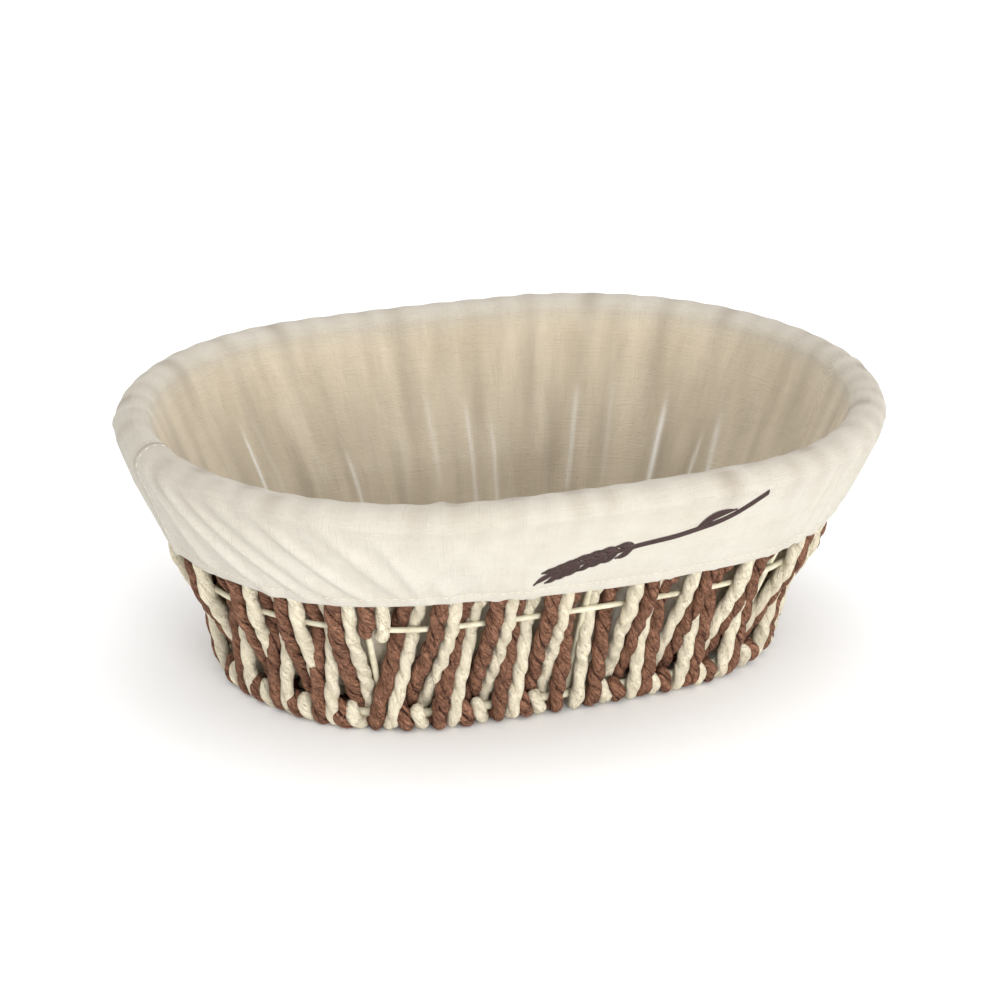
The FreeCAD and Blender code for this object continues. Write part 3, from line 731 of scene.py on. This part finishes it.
# Ropes further out than this stop short of the outer cross ribs.
SHORT_BEYOND = 38.0
SHORT_BY = 7.0
rib_x = abs(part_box("cross_rib_right")[0][0]) / MM + RIB_RADIUS
floor_rise = RIB_RADIUS + CAD_ROPE_RADIUS
floor_piles = {"brown": MeshPile(), "cream": MeshPile()}
floor_oval = Oval(base.half_length - 6.9, base.half_width - 6.9)
for step in range(FLOOR_ROPES):
    for side in (-1, 1):
        rng = np.random.default_rng(5000 + 2 * step + side)
        y = side * (FLOOR_FIRST + step * FLOOR_PITCH)
        odd = (step + (side > 0)) % 2
        reach = floor_oval.end_centre + math.sqrt(floor_oval.end_radius**2 - y**2)
        phase = 1.0 if odd else -1.0
        if abs(y) > SHORT_BEYOND:
            reach = rib_x - SHORT_BY
        x = np.linspace(-reach, reach, int(2 * reach / 1.4))
        height = base.height + phase * floor_rise * np.cos(math.pi * x / rib_x)
        path = np.stack([x, y + 0.5 * smooth_noise(rng, len(x), 7), height], 1)
        colour = "brown" if odd else "cream"
        floor_piles[colour].add(*rope_mesh(path, CAD_ROPE_RADIUS, rng))
for colour, pile in floor_piles.items():
    piece = pile.piece(f"{colour}_floor_ropes", PAPERS[colour], "basket", f"{colour}_paper_rope")
    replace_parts(piece, f"floor_ropes_{colour}")

# ---------- liner shape
CLOTH = 0.4
COLUMNS = 720
INNER_SET = 6.75
CREST_RADIUS = 6.45
HEM_OUT = 4.75
SEAM_FRACTION = 0.512
INNER_SEAM_FRACTION = 0.985
INSIDE_ROWS, CREST_ROWS, CUFF_ROWS = 56, 18, 34
FLOOR_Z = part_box("liner_floor")[0][2] / MM + 0.6
HEM_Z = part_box("hem_elastic")[0][2] / MM
HEM_FOLD_Z = HEM_Z + 1.0
PUSHED_IN = 0.85
PUSHED_IN_OVER = 18.0


def cloth_profile():
    """Rows of the bag from its bottom seam, up the inside, over the rim and
    down to the hem (half length, half width, height), with each row's normal and
    its distance along the cloth."""
    rows = []
    for height in np.linspace(FLOOR_Z + 0.3, rim.height, INSIDE_ROWS):
        # The ropes behind the middle wire press on the cloth.
        pushed_in = PUSHED_IN * bell(height - middle.height, PUSHED_IN_OVER)
        rows.append((*wall_size(height, -INNER_SET - pushed_in), height))
    for angle in np.linspace(math.pi, 0, CREST_ROWS + 2)[1:-1]:
        out, up = CREST_RADIUS * math.cos(angle), CREST_RADIUS * math.sin(angle)
        rows.append((rim.half_length + out, rim.half_width + out, rim.height + up))
    for share in np.linspace(0, 1, CUFF_ROWS):
        height = rim.height + share * (HEM_FOLD_Z - rim.height)
        out = CREST_RADIUS + share * (HEM_OUT - CREST_RADIUS) + 0.5 * math.sin(math.pi * share)
        rows.append((*wall_size(height, out), height))
    for angle in np.linspace(0, -math.pi, 7)[1:]:
        out = HEM_OUT - 0.45 + 0.45 * math.cos(angle)
        height = HEM_FOLD_Z + 0.6 * math.sin(angle)
        rows.append((*wall_size(height, out), height))
    for rise in (1.5, 3.0, 4.5):
        rows.append((*wall_size(HEM_FOLD_Z + rise, HEM_OUT - 0.9), HEM_FOLD_Z + rise))
    rows = np.array(rows)
    travel = np.gradient(rows[:, [0, 2]], axis=0)
    travel /= np.linalg.norm(travel, axis=1)[:, None]
    normal = np.stack([-travel[:, 1], travel[:, 0]], 1)
    steps = np.linalg.norm(np.diff(rows[:, [0, 2]], axis=0), axis=1)
    distance = np.concatenate([[0], np.cumsum(steps)])
    return rows, normal, distance


def give_thickness(piece):
    thick = piece.modifiers.new("thickness", "SOLIDIFY")
    thick.thickness = CLOTH * MM
    thick.offset = 0.0


profile, profile_normal, profile_distance = cloth_profile()
RIM_ROW = INSIDE_ROWS + CREST_ROWS // 2
CREST_DISTANCE = profile_distance[RIM_ROW]
HEM_ROW = INSIDE_ROWS + CREST_ROWS + CUFF_ROWS - 1
HEM_DISTANCE = profile_distance[HEM_ROW]
# Columns start and end at the side seam.
columns = SEAM_FRACTION + np.linspace(0, 1, COLUMNS + 1)
ROUND = rim.oval.perimeter


# Deep diagonal folds on the front left of the cuff, where the hem pulls:
# fraction round, slant, start below the crest, height, width.
PULLED_FOLDS = [
    (0.535, 0.55, 6, 1.43, 3.2), (0.557, 0.95, 9, 1.95, 3.0), (0.578, 1.15, 12, 1.69, 2.6),
    (0.590, 1.05, 6, 1.30, 4.2), (0.612, 0.95, 12, 1.69, 2.8), (0.634, 0.75, 10, 1.17, 3.4),
    (0.651, 0.45, 16, 1.04, 2.4), (0.685, 0.3, 20, 0.65, 3.0),
]
# Fine upright pleats round the right end: first, spacing, how many.
PLEATS_FROM, PLEAT_PITCH, PLEATS = 0.862, 0.0068, 22
# Where the hem's thread is caught: fraction round and height.
PUCKERS = [(0.669, 1.2), (0.7025, 1.0)]


def ridge(s, v, at, width, low, high, slant, height):
    """A fold: a soft ridge over the cloth, at a place round the rim in mm."""
    middle_v = (low + high) / 2
    away = around(s - at - slant * (v - middle_v), ROUND)
    window = 1 / (1 + np.exp(-(v - low) / 2.5)) / (1 + np.exp((v - high) / 2.5))
    return height * bell(away, width) * window


def cloth_folds(s, v):
    """Height of folds over the whole cloth, outward from the ropes, in mm."""
    rng = np.random.default_rng(7)
    out = np.zeros(np.broadcast(s, v).shape)
    top, hem = CREST_DISTANCE, HEM_DISTANCE
    # Long soft folds over the whole cloth.
    for _ in range(90):
        low = rng.uniform(-5, 45)
        out += ridge(s, v, rng.uniform(0, ROUND), rng.uniform(1.5, 6), low, low + rng.uniform(20, 75),
                     rng.uniform(-0.2, 0.2), rng.uniform(-0.2, 1.1))
    # Gathers that rise from the hem.
    for _ in range(150):
        rise = rng.uniform(5, 26)
        out += ridge(s, v, rng.uniform(0, ROUND), rng.uniform(1.4, 4.0), hem - rise, hem + 4,
                     rng.uniform(-0.35, 0.35), rng.uniform(-0.3, 0.75))
    # Slanting creases on the cuff.
    for _ in range(30):
        low = rng.uniform(top + 6, top + 20)
        out += ridge(s, v, rng.uniform(0, ROUND), rng.uniform(2, 5), low, low + rng.uniform(12, 26),
                     rng.uniform(-0.9, 0.9), rng.uniform(0.2, 0.6))
    for at, slant, start, height, width in PULLED_FOLDS:
        out += ridge(s, v, at * ROUND, width, top + start, hem - 3.5, slant, height)
    for number in range(PLEATS):
        at = PLEATS_FROM + PLEAT_PITCH * number + rng.uniform(-0.002, 0.002)
        out += ridge(s, v, at * ROUND, rng.uniform(1.1, 1.9), top + rng.uniform(4, 12), hem + 4,
                     rng.uniform(-0.25, 0.1), rng.uniform(0.45, 1.0))
    for at, height in PUCKERS:
        out += ridge(s, v, at * ROUND, 3.4, hem - 9, hem - 2.0, 0.5, height)
    return out


BAND_WIDTH = 0.7


def painted_rope_shade(fraction, row_height, inner):
    """Painted shade where brown ropes show through the cloth, 0 to 1, per column."""
    share = np.clip((row_height - base.height) / (rim.height - base.height), 0, 1)
    near_middle = bell(row_height - middle.height, 16)
    slot = np.mod(fraction * SLOTS, SLOTS)
    strongest = np.zeros_like(fraction)
    for foot, head, side in brown_lines:
        at = foot + (head - foot) * share
        close = near_middle if side > 0 else 1 - near_middle
        weight = 0.45 + 0.55 * (close if inner else 1 - close)
        patch = 0.62 + 0.38 * math.sin(2.1 * head + row_height / 13)
        shade_shown = patch * weight * bell(around(slot - at, SLOTS), BAND_WIDTH)
        strongest = np.maximum(strongest, shade_shown)
    return strongest


def painted_light_streaks(fraction, row_height):
    """Painted light: thin bright streaks low in the wall, where light would come in between two ropes."""
    rng = np.random.default_rng(31)
    brightest = np.zeros_like(fraction)
    for slot in range(2, SLOTS, 3):
        at = slot + rng.choice([0.5, 1.5]) + rng.uniform(-0.1, 0.1)
        at += (row_height - 25) * rng.uniform(-0.02, 0.02)
        low, high = rng.uniform(12, 38), rng.uniform(42, 70)
        width, strength = rng.uniform(0.12, 0.24), rng.uniform(0.2, 1.0) ** 2
        away = around(fraction * SLOTS - at, SLOTS)
        tall = 1 / (1 + math.exp(-(row_height - low) / 1.5)) / (1 + math.exp((row_height - high) / 2.0))
        brightest = np.maximum(brightest, strength * tall * bell(away, width))
    return brightest


s_grid = np.mod(columns, 1.0)[None, :] * ROUND
v_grid = profile_distance[:, None]
fold = cloth_folds(s_grid, v_grid)

# The cloth lies smoother under the embroidery and over the crest.
EMBROIDERY_AT, EMBROIDERY_BELOW_CREST = 0.77, 22.0
EMBROIDERY_LONG, EMBROIDERY_TALL = 44.0, 18.0
along_badge = (s_grid / ROUND - EMBROIDERY_AT) * ROUND / EMBROIDERY_LONG
down_badge = (v_grid - CREST_DISTANCE - EMBROIDERY_BELOW_CREST) / EMBROIDERY_TALL
from_badge = along_badge**2 + down_badge**2
fold *= 1 - 0.85 * np.exp(-from_badge**2)
fold *= 1 - 0.4 * bell(v_grid - CREST_DISTANCE, 9)
for at in (SEAM_FRACTION, INNER_SEAM_FRACTION):
    fold += 0.55 * bell(around(s_grid - at * ROUND, ROUND), 0.9)
stitch_line = HEM_DISTANCE - 3.6
fold -= 0.35 * bell(v_grid - stitch_line, 0.8)

# The hem rides up a little left of the front middle and hangs right of it.
hem_rng = np.random.default_rng(12)
hem_rise = 1.6 * bell(columns % 1.0 - 0.665, 0.04) - 1.0 * bell(columns % 1.0 - 0.775, 0.03)
wander = smooth_noise(hem_rng, len(columns), 22)
wander[-40:] += (wander[0] - wander[-1]) * np.linspace(0, 1, 40)
hem_rise = hem_rise + 0.45 * wander


def skirt_share(distance):
    """0 at the crest to 1 at the hem, for what only moves the cuff's hem."""
    return min(max((distance - CREST_DISTANCE) / (HEM_DISTANCE - CREST_DISTANCE), 0), 1) ** 2


vertices, inside, painted_shade, weave, painted_light_rows = [], [], [], [], []
for row, (half_length, half_width, height) in enumerate(profile):
    x, y, nx, ny = Oval(half_length, half_width).points(columns)
    amount = fold[row] * (0.25 if row > HEM_ROW + 1 else 1.0)
    ripple = np.cos(columns * math.pi * SLOTS)
    past_crest = profile_distance[row] - CREST_DISTANCE
    crest_share = bell(past_crest, 9)
    amount = amount + 0.16 * crest_share * ripple
    out, rise = profile_normal[row]
    up = height + rise * amount + hem_rise * skirt_share(profile_distance[row])
    vertices.append(np.stack([x + nx * out * amount, y + ny * out * amount, up], 1))
    is_inner = row <= RIM_ROW
    inner_share = 1 / (1 + math.exp((past_crest + 9) / 2.0))
    # The painted inside shade eases off towards the floor, which paints light into the low part of the wall.
    deep = max(0.0, 1 - (height - FLOOR_Z) / (rim.height - FLOOR_Z)) if is_inner else 0.0
    inside.append(np.full(len(columns), inner_share * (1 - 0.3 * deep)))
    # Painted light streaks on the inner face.
    painted_light_rows.append(painted_light_streaks(columns, height) * inner_share)
    shade = painted_rope_shade(columns, height, is_inner)
    # Painted shade over the upper cuff, below the crest.
    upper_cuff = bell(past_crest, 17) * (1 - inner_share)
    strength = 0.36 * inner_share + 0.48 * upper_cuff
    shade = shade + 0.6 * upper_cuff
    # Painted shade along the seam groove at the crest.
    seam = bell((columns - SEAM_FRACTION) * ROUND, 0.55) * crest_share
    painted_shade.append(np.maximum(shade * strength, 0.8 * seam))
    along_cloth = np.full(len(columns), profile_distance[row])
    weave.append(np.stack([columns * ROUND, along_cloth, columns * 0], 1))
vertices = np.concatenate(vertices)
faces = grid_faces(len(profile), len(columns), False)
bag = make_piece("liner_bag", vertices, faces, COTTON, "liner", {
    "inside": np.concatenate(inside), "painted_shade": np.concatenate(painted_shade),
    "weave": np.concatenate(weave), "gap": np.concatenate(painted_light_rows)})
give_thickness(bag)
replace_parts(bag, "liner_wall", "liner_cuff", "hem_elastic")

# ---------- liner floor
PANEL_ROWS = 44
panel_size = wall_size(FLOOR_Z, -INNER_SET - 0.6)
vertices, weave = [], []
panel_columns = np.linspace(0, 1, 241)[:-1]
for share in np.linspace(0.02, 1, PANEL_ROWS):
    x, y, _, _ = Oval(panel_size[0], panel_size[1]).points(panel_columns)
    x, y = x * share, y * share
    rib_ripple = 0.12 * np.cos(2 * math.pi * (np.abs(y) - FLOOR_FIRST) / FLOOR_PITCH)
    sway = 0.25 * np.sin(x / 17 + 1.0) * np.sin(y / 13 + 0.4) + 0.15 * np.sin(x / 7 + y / 9)
    z = FLOOR_Z + 0.1 + (rib_ripple + sway) * (1 - share**6)
    vertices.append(np.stack([x, y, z], 1))
    weave.append(np.stack([x, y, x * 0], 1))
vertices = np.concatenate(vertices)
faces = grid_faces(PANEL_ROWS, len(panel_columns), True)
faces.append(tuple(reversed(range(len(panel_columns)))))
count = len(vertices)
# The floor panel gets the full painted inside shade and a little painted rope shade.
panel = make_piece("liner_panel", vertices, faces, COTTON, "liner", {
    "inside": np.full(count, 1.0), "painted_shade": np.full(count, 0.1), "weave": np.concatenate(weave),
    "gap": np.zeros(count)})
give_thickness(panel)
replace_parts(panel, "liner_floor")


# ---------- stitching
def cloth_point(fraction, distance, lift):
    """A point over the cloth at a fraction round and a distance along it."""
    row = float(np.interp(distance, profile_distance, np.arange(len(profile_distance))))
    low = int(row)
    part = row - low
    spots = []
    for index in (low, min(low + 1, len(profile) - 1)):
        half_length, half_width, height = profile[index]
        spot, outward = Oval(half_length, half_width).spot(fraction)
        column = (fraction - SEAM_FRACTION) % 1.0 * COLUMNS
        amount = float(np.interp(column, np.arange(COLUMNS + 1), fold[index])) + lift
        out, rise = profile_normal[index]
        climb = float(np.interp(column, np.arange(COLUMNS + 1), hem_rise))
        climb *= skirt_share(profile_distance[index])
        spots.append(spot + outward * out * amount + UP * (height + rise * amount + climb))
    return spots[0] * (1 - part) + spots[1] * part


def thread(pile, points, radius, segments=6):
    points = np.asarray(points)
    share = np.linspace(0, 1, len(points))
    radii = radius * np.clip(np.sin(np.clip(share, 0.06, 0.94) * math.pi), 0.35, 1) ** 0.4
    vertices, faces = tube_mesh(points, radii, segments)
    pile.add(vertices, faces, {})


def running_stitches(pile, path_point, count, share, radius, sink):
    """Short threads end to end along a path, each one arched over the cloth."""
    for number in range(count):
        at = number / count
        points = []
        for part in np.linspace(0, 1, 5):
            lift = -sink + (sink + 0.22) * math.sin(math.pi * part)
            points.append(path_point(at + part * share / count, lift))
        thread(pile, points, radius)


def hem_point(at, lift):
    return cloth_point(at, stitch_line, 0.2 + lift)


def seam_point(seam):
    """The stitched path beside an upright seam of the bag."""
    return lambda at, lift: cloth_point(seam + 0.0022, 2 + at * (stitch_line - 4), 0.15 + lift)


stitches = MeshPile()
running_stitches(stitches, hem_point, 250, 0.72, 0.16, 0.25)
stitches.piece("hem_stitches", PALE_THREAD, "liner", "cotton")
stitches = MeshPile()
for seam_place in (SEAM_FRACTION, INNER_SEAM_FRACTION):
    running_stitches(stitches, seam_point(seam_place), 44, 0.7, 0.16, 0.25)
stitches.piece("seam_stitches", PALE_THREAD, "liner", "cotton")

# ---------- wheat embroidery
WHEAT_STEM = [(-22.0, 65.5), (-8.0, 70.5), (8.0, 74.0), (24.0, 76.0), (40.0, 80.5), (51.0, 88.0)]
CUFF_TOP = profile_distance[INSIDE_ROWS + CREST_ROWS]
CUFF_MIDDLE = 0.75


def on_cuff(along, height, lift):
    """A point over the cuff, along from the front middle and up from the table."""
    share = (rim.height - height) / (rim.height - HEM_FOLD_Z)
    distance = CUFF_TOP + share * (HEM_DISTANCE - CUFF_TOP)
    return cloth_point(CUFF_MIDDLE + along / ROUND, distance, lift)


def spline(points, count):
    """A smooth line through a few points."""
    points = np.asarray(points, float)
    ends = np.concatenate([[2 * points[0] - points[1]], points, [2 * points[-1] - points[-2]]])
    out = []
    for index in range(1, len(ends) - 2):
        p0, p1, p2, p3 = ends[index - 1:index + 3]
        for t in np.linspace(0, 1, count, endpoint=False):
            out.append(0.5 * (2 * p1 + (p2 - p0) * t + (2 * p0 - 5 * p1 + 4 * p2 - p3) * t * t
                              + (3 * p1 - p0 - 3 * p2 + p3) * t**3))
    out.append(points[-1])
    return np.array(out)


def satin(pile, line, half_width, slant=0.5, spacing=0.42, radius=0.23):
    """Close stitches across a line on the cuff. half_width is a function of 0 to 1."""
    length = np.concatenate([[0], np.cumsum(np.linalg.norm(np.diff(line, axis=0), axis=1))])
    count = max(3, int(length[-1] / spacing))
    for number in range(count):
        share = (number + 0.5) / count
        at = np.array([np.interp(share * length[-1], length, line[:, axis]) for axis in range(2)])
        after, before = min(share * length[-1] + 0.5, length[-1]), max(share * length[-1] - 0.5, 0)
        ahead = np.array([np.interp(after, length, line[:, axis]) - np.interp(before, length, line[:, axis])
                          for axis in range(2)])
        ahead /= np.linalg.norm(ahead) + 1e-9
        across = np.array([-ahead[1], ahead[0]]) + slant * ahead
        wide = half_width(share)
        points = []
        for part in np.linspace(-1, 1, 5):
            spot = at + across * wide * part
            points.append(on_cuff(spot[0], spot[1], 0.12 + 0.42 * math.sqrt(max(0.0, 1 - part * part))))
        thread(pile, points, radius, 5)


def swelling(widest, from_start, end, fullness):
    """Half width of a grain or leaf along it: pointed ends and a full middle."""
    return lambda share: widest * math.sin(math.pi * min(share + from_start, end)) ** fullness


LEAF_AT = 26
GRAIN_PAIRS = 7
wheat = MeshPile()
stem = spline(WHEAT_STEM, 8)
satin(wheat, stem, lambda share: 0.95 + 0.35 * share)
ear_line = spline(WHEAT_STEM[:3], 12)
for pair in range(GRAIN_PAIRS):
    along = pair * (len(ear_line) - 5) / (GRAIN_PAIRS - 1)
    place = ear_line[int(3 + along)]
    toward = ear_line[int(along)] - place
    heading = math.atan2(toward[1], toward[0])
    for side in (-1, 1):
        angle = heading + side * math.radians(34)
        reach = 7.4 - 0.25 * abs(3 - pair)
        start = place + 0.8 * np.array([math.cos(angle), math.sin(angle)])
        tip = start + reach * np.array([math.cos(angle - side * 0.25), math.sin(angle - side * 0.25)])
        mid = (start + tip) / 2 + 0.7 * side * np.array([-math.sin(angle), math.cos(angle)])
        satin(wheat, spline([start, mid, tip], 6), swelling(1.45, 0.08, 0.97, 0.7))
tip_start = ear_line[0]
tip_grain = [tip_start, tip_start + np.array([-3.2, -1.4]), tip_start + np.array([-6.4, -3.4])]
satin(wheat, spline(tip_grain, 6), swelling(1.3, 0.1, 0.97, 0.7))
leaf_start = stem[LEAF_AT]
leaf = spline([leaf_start, leaf_start + np.array([5.0, 4.6]), leaf_start + np.array([13.0, 6.4])], 8)
satin(wheat, leaf, swelling(1.9, 0.06, 0.98, 0.8))
badge = wheat.piece("wheat_ear", DARK_THREAD, "liner", "embroidery_thread")
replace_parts(badge, "wheat_embroidery")


# ---------- stage
def stage():
    floor_mesh = bpy.data.meshes.new("floor")
    reach = 6.0
    corners = [(-reach, -reach, 0), (reach, -reach, 0), (reach, reach, 0), (-reach, reach, 0)]
    floor_mesh.from_pydata(corners, [], [(0, 1, 2, 3)])
    material, nodes, links, shader = new_material("studio_floor")
    shader.inputs["Base Color"].default_value = (0.92, 0.92, 0.92, 1)
    shader.inputs["Roughness"].default_value = 0.9
    shader.inputs["Specular IOR Level"].default_value = 0.1
    floor_mesh.materials.append(material)
    floor = bpy.data.objects.new("floor", floor_mesh)
    floor.location.z = -0.0002
    bpy.context.scene.collection.objects.link(floor)

    world = bpy.data.worlds.new("studio")
    world.use_nodes = True
    background = world.node_tree.nodes["Background"]
    background.inputs["Color"].default_value = (1.0, 1.0, 1.0, 1)
    background.inputs["Strength"].default_value = 1.22
    bpy.context.scene.world = world

    def area_light(name, place, size, power):
        data = bpy.data.lights.new(name, "AREA")
        data.shape = "DISK"
        data.size = size
        data.energy = power
        light = bpy.data.objects.new(name, data)
        light.location = place
        light.rotation_euler = (Vector((0, 0, 0.05)) - Vector(place)).to_track_quat("-Z", "Y").to_euler()
        bpy.context.scene.collection.objects.link(light)

    area_light("key", (0.0, -1.7, 0.3), 1.0, 22)
    area_light("top", (0.3, 0.3, 1.8), 1.4, 3)


def camera():
    elevation, azimuth, roll = 0.3903, -0.4101, 0.0244
    distance, focal_pixels = 1.085, 3016.6
    forward = Vector((-math.sin(azimuth) * math.cos(elevation), math.cos(azimuth) * math.cos(elevation),
                      -math.sin(elevation)))
    right = Vector((math.cos(azimuth), math.sin(azimuth), 0))
    up = right.cross(forward)
    target = Vector((0, 0, 0.05)) - right * 0.00098 + up * 0.00364
    eye = target - forward * distance
    axis_x = right * math.cos(roll) + up * math.sin(roll)
    axis_y = up * math.cos(roll) - right * math.sin(roll)
    data = bpy.data.cameras.new("camera")
    data.sensor_width = 36.0
    data.lens = focal_pixels * 36.0 / 1000
    data.clip_start = 0.05
    item = bpy.data.objects.new("camera", data)
    matrix = Matrix((axis_x, axis_y, -forward)).transposed().to_4x4()
    matrix.translation = eye
    item.matrix_world = matrix
    bpy.context.scene.collection.objects.link(item)
    bpy.context.scene.camera = item


stage()
camera()
bpy.context.scene.view_settings.view_transform = "Standard"
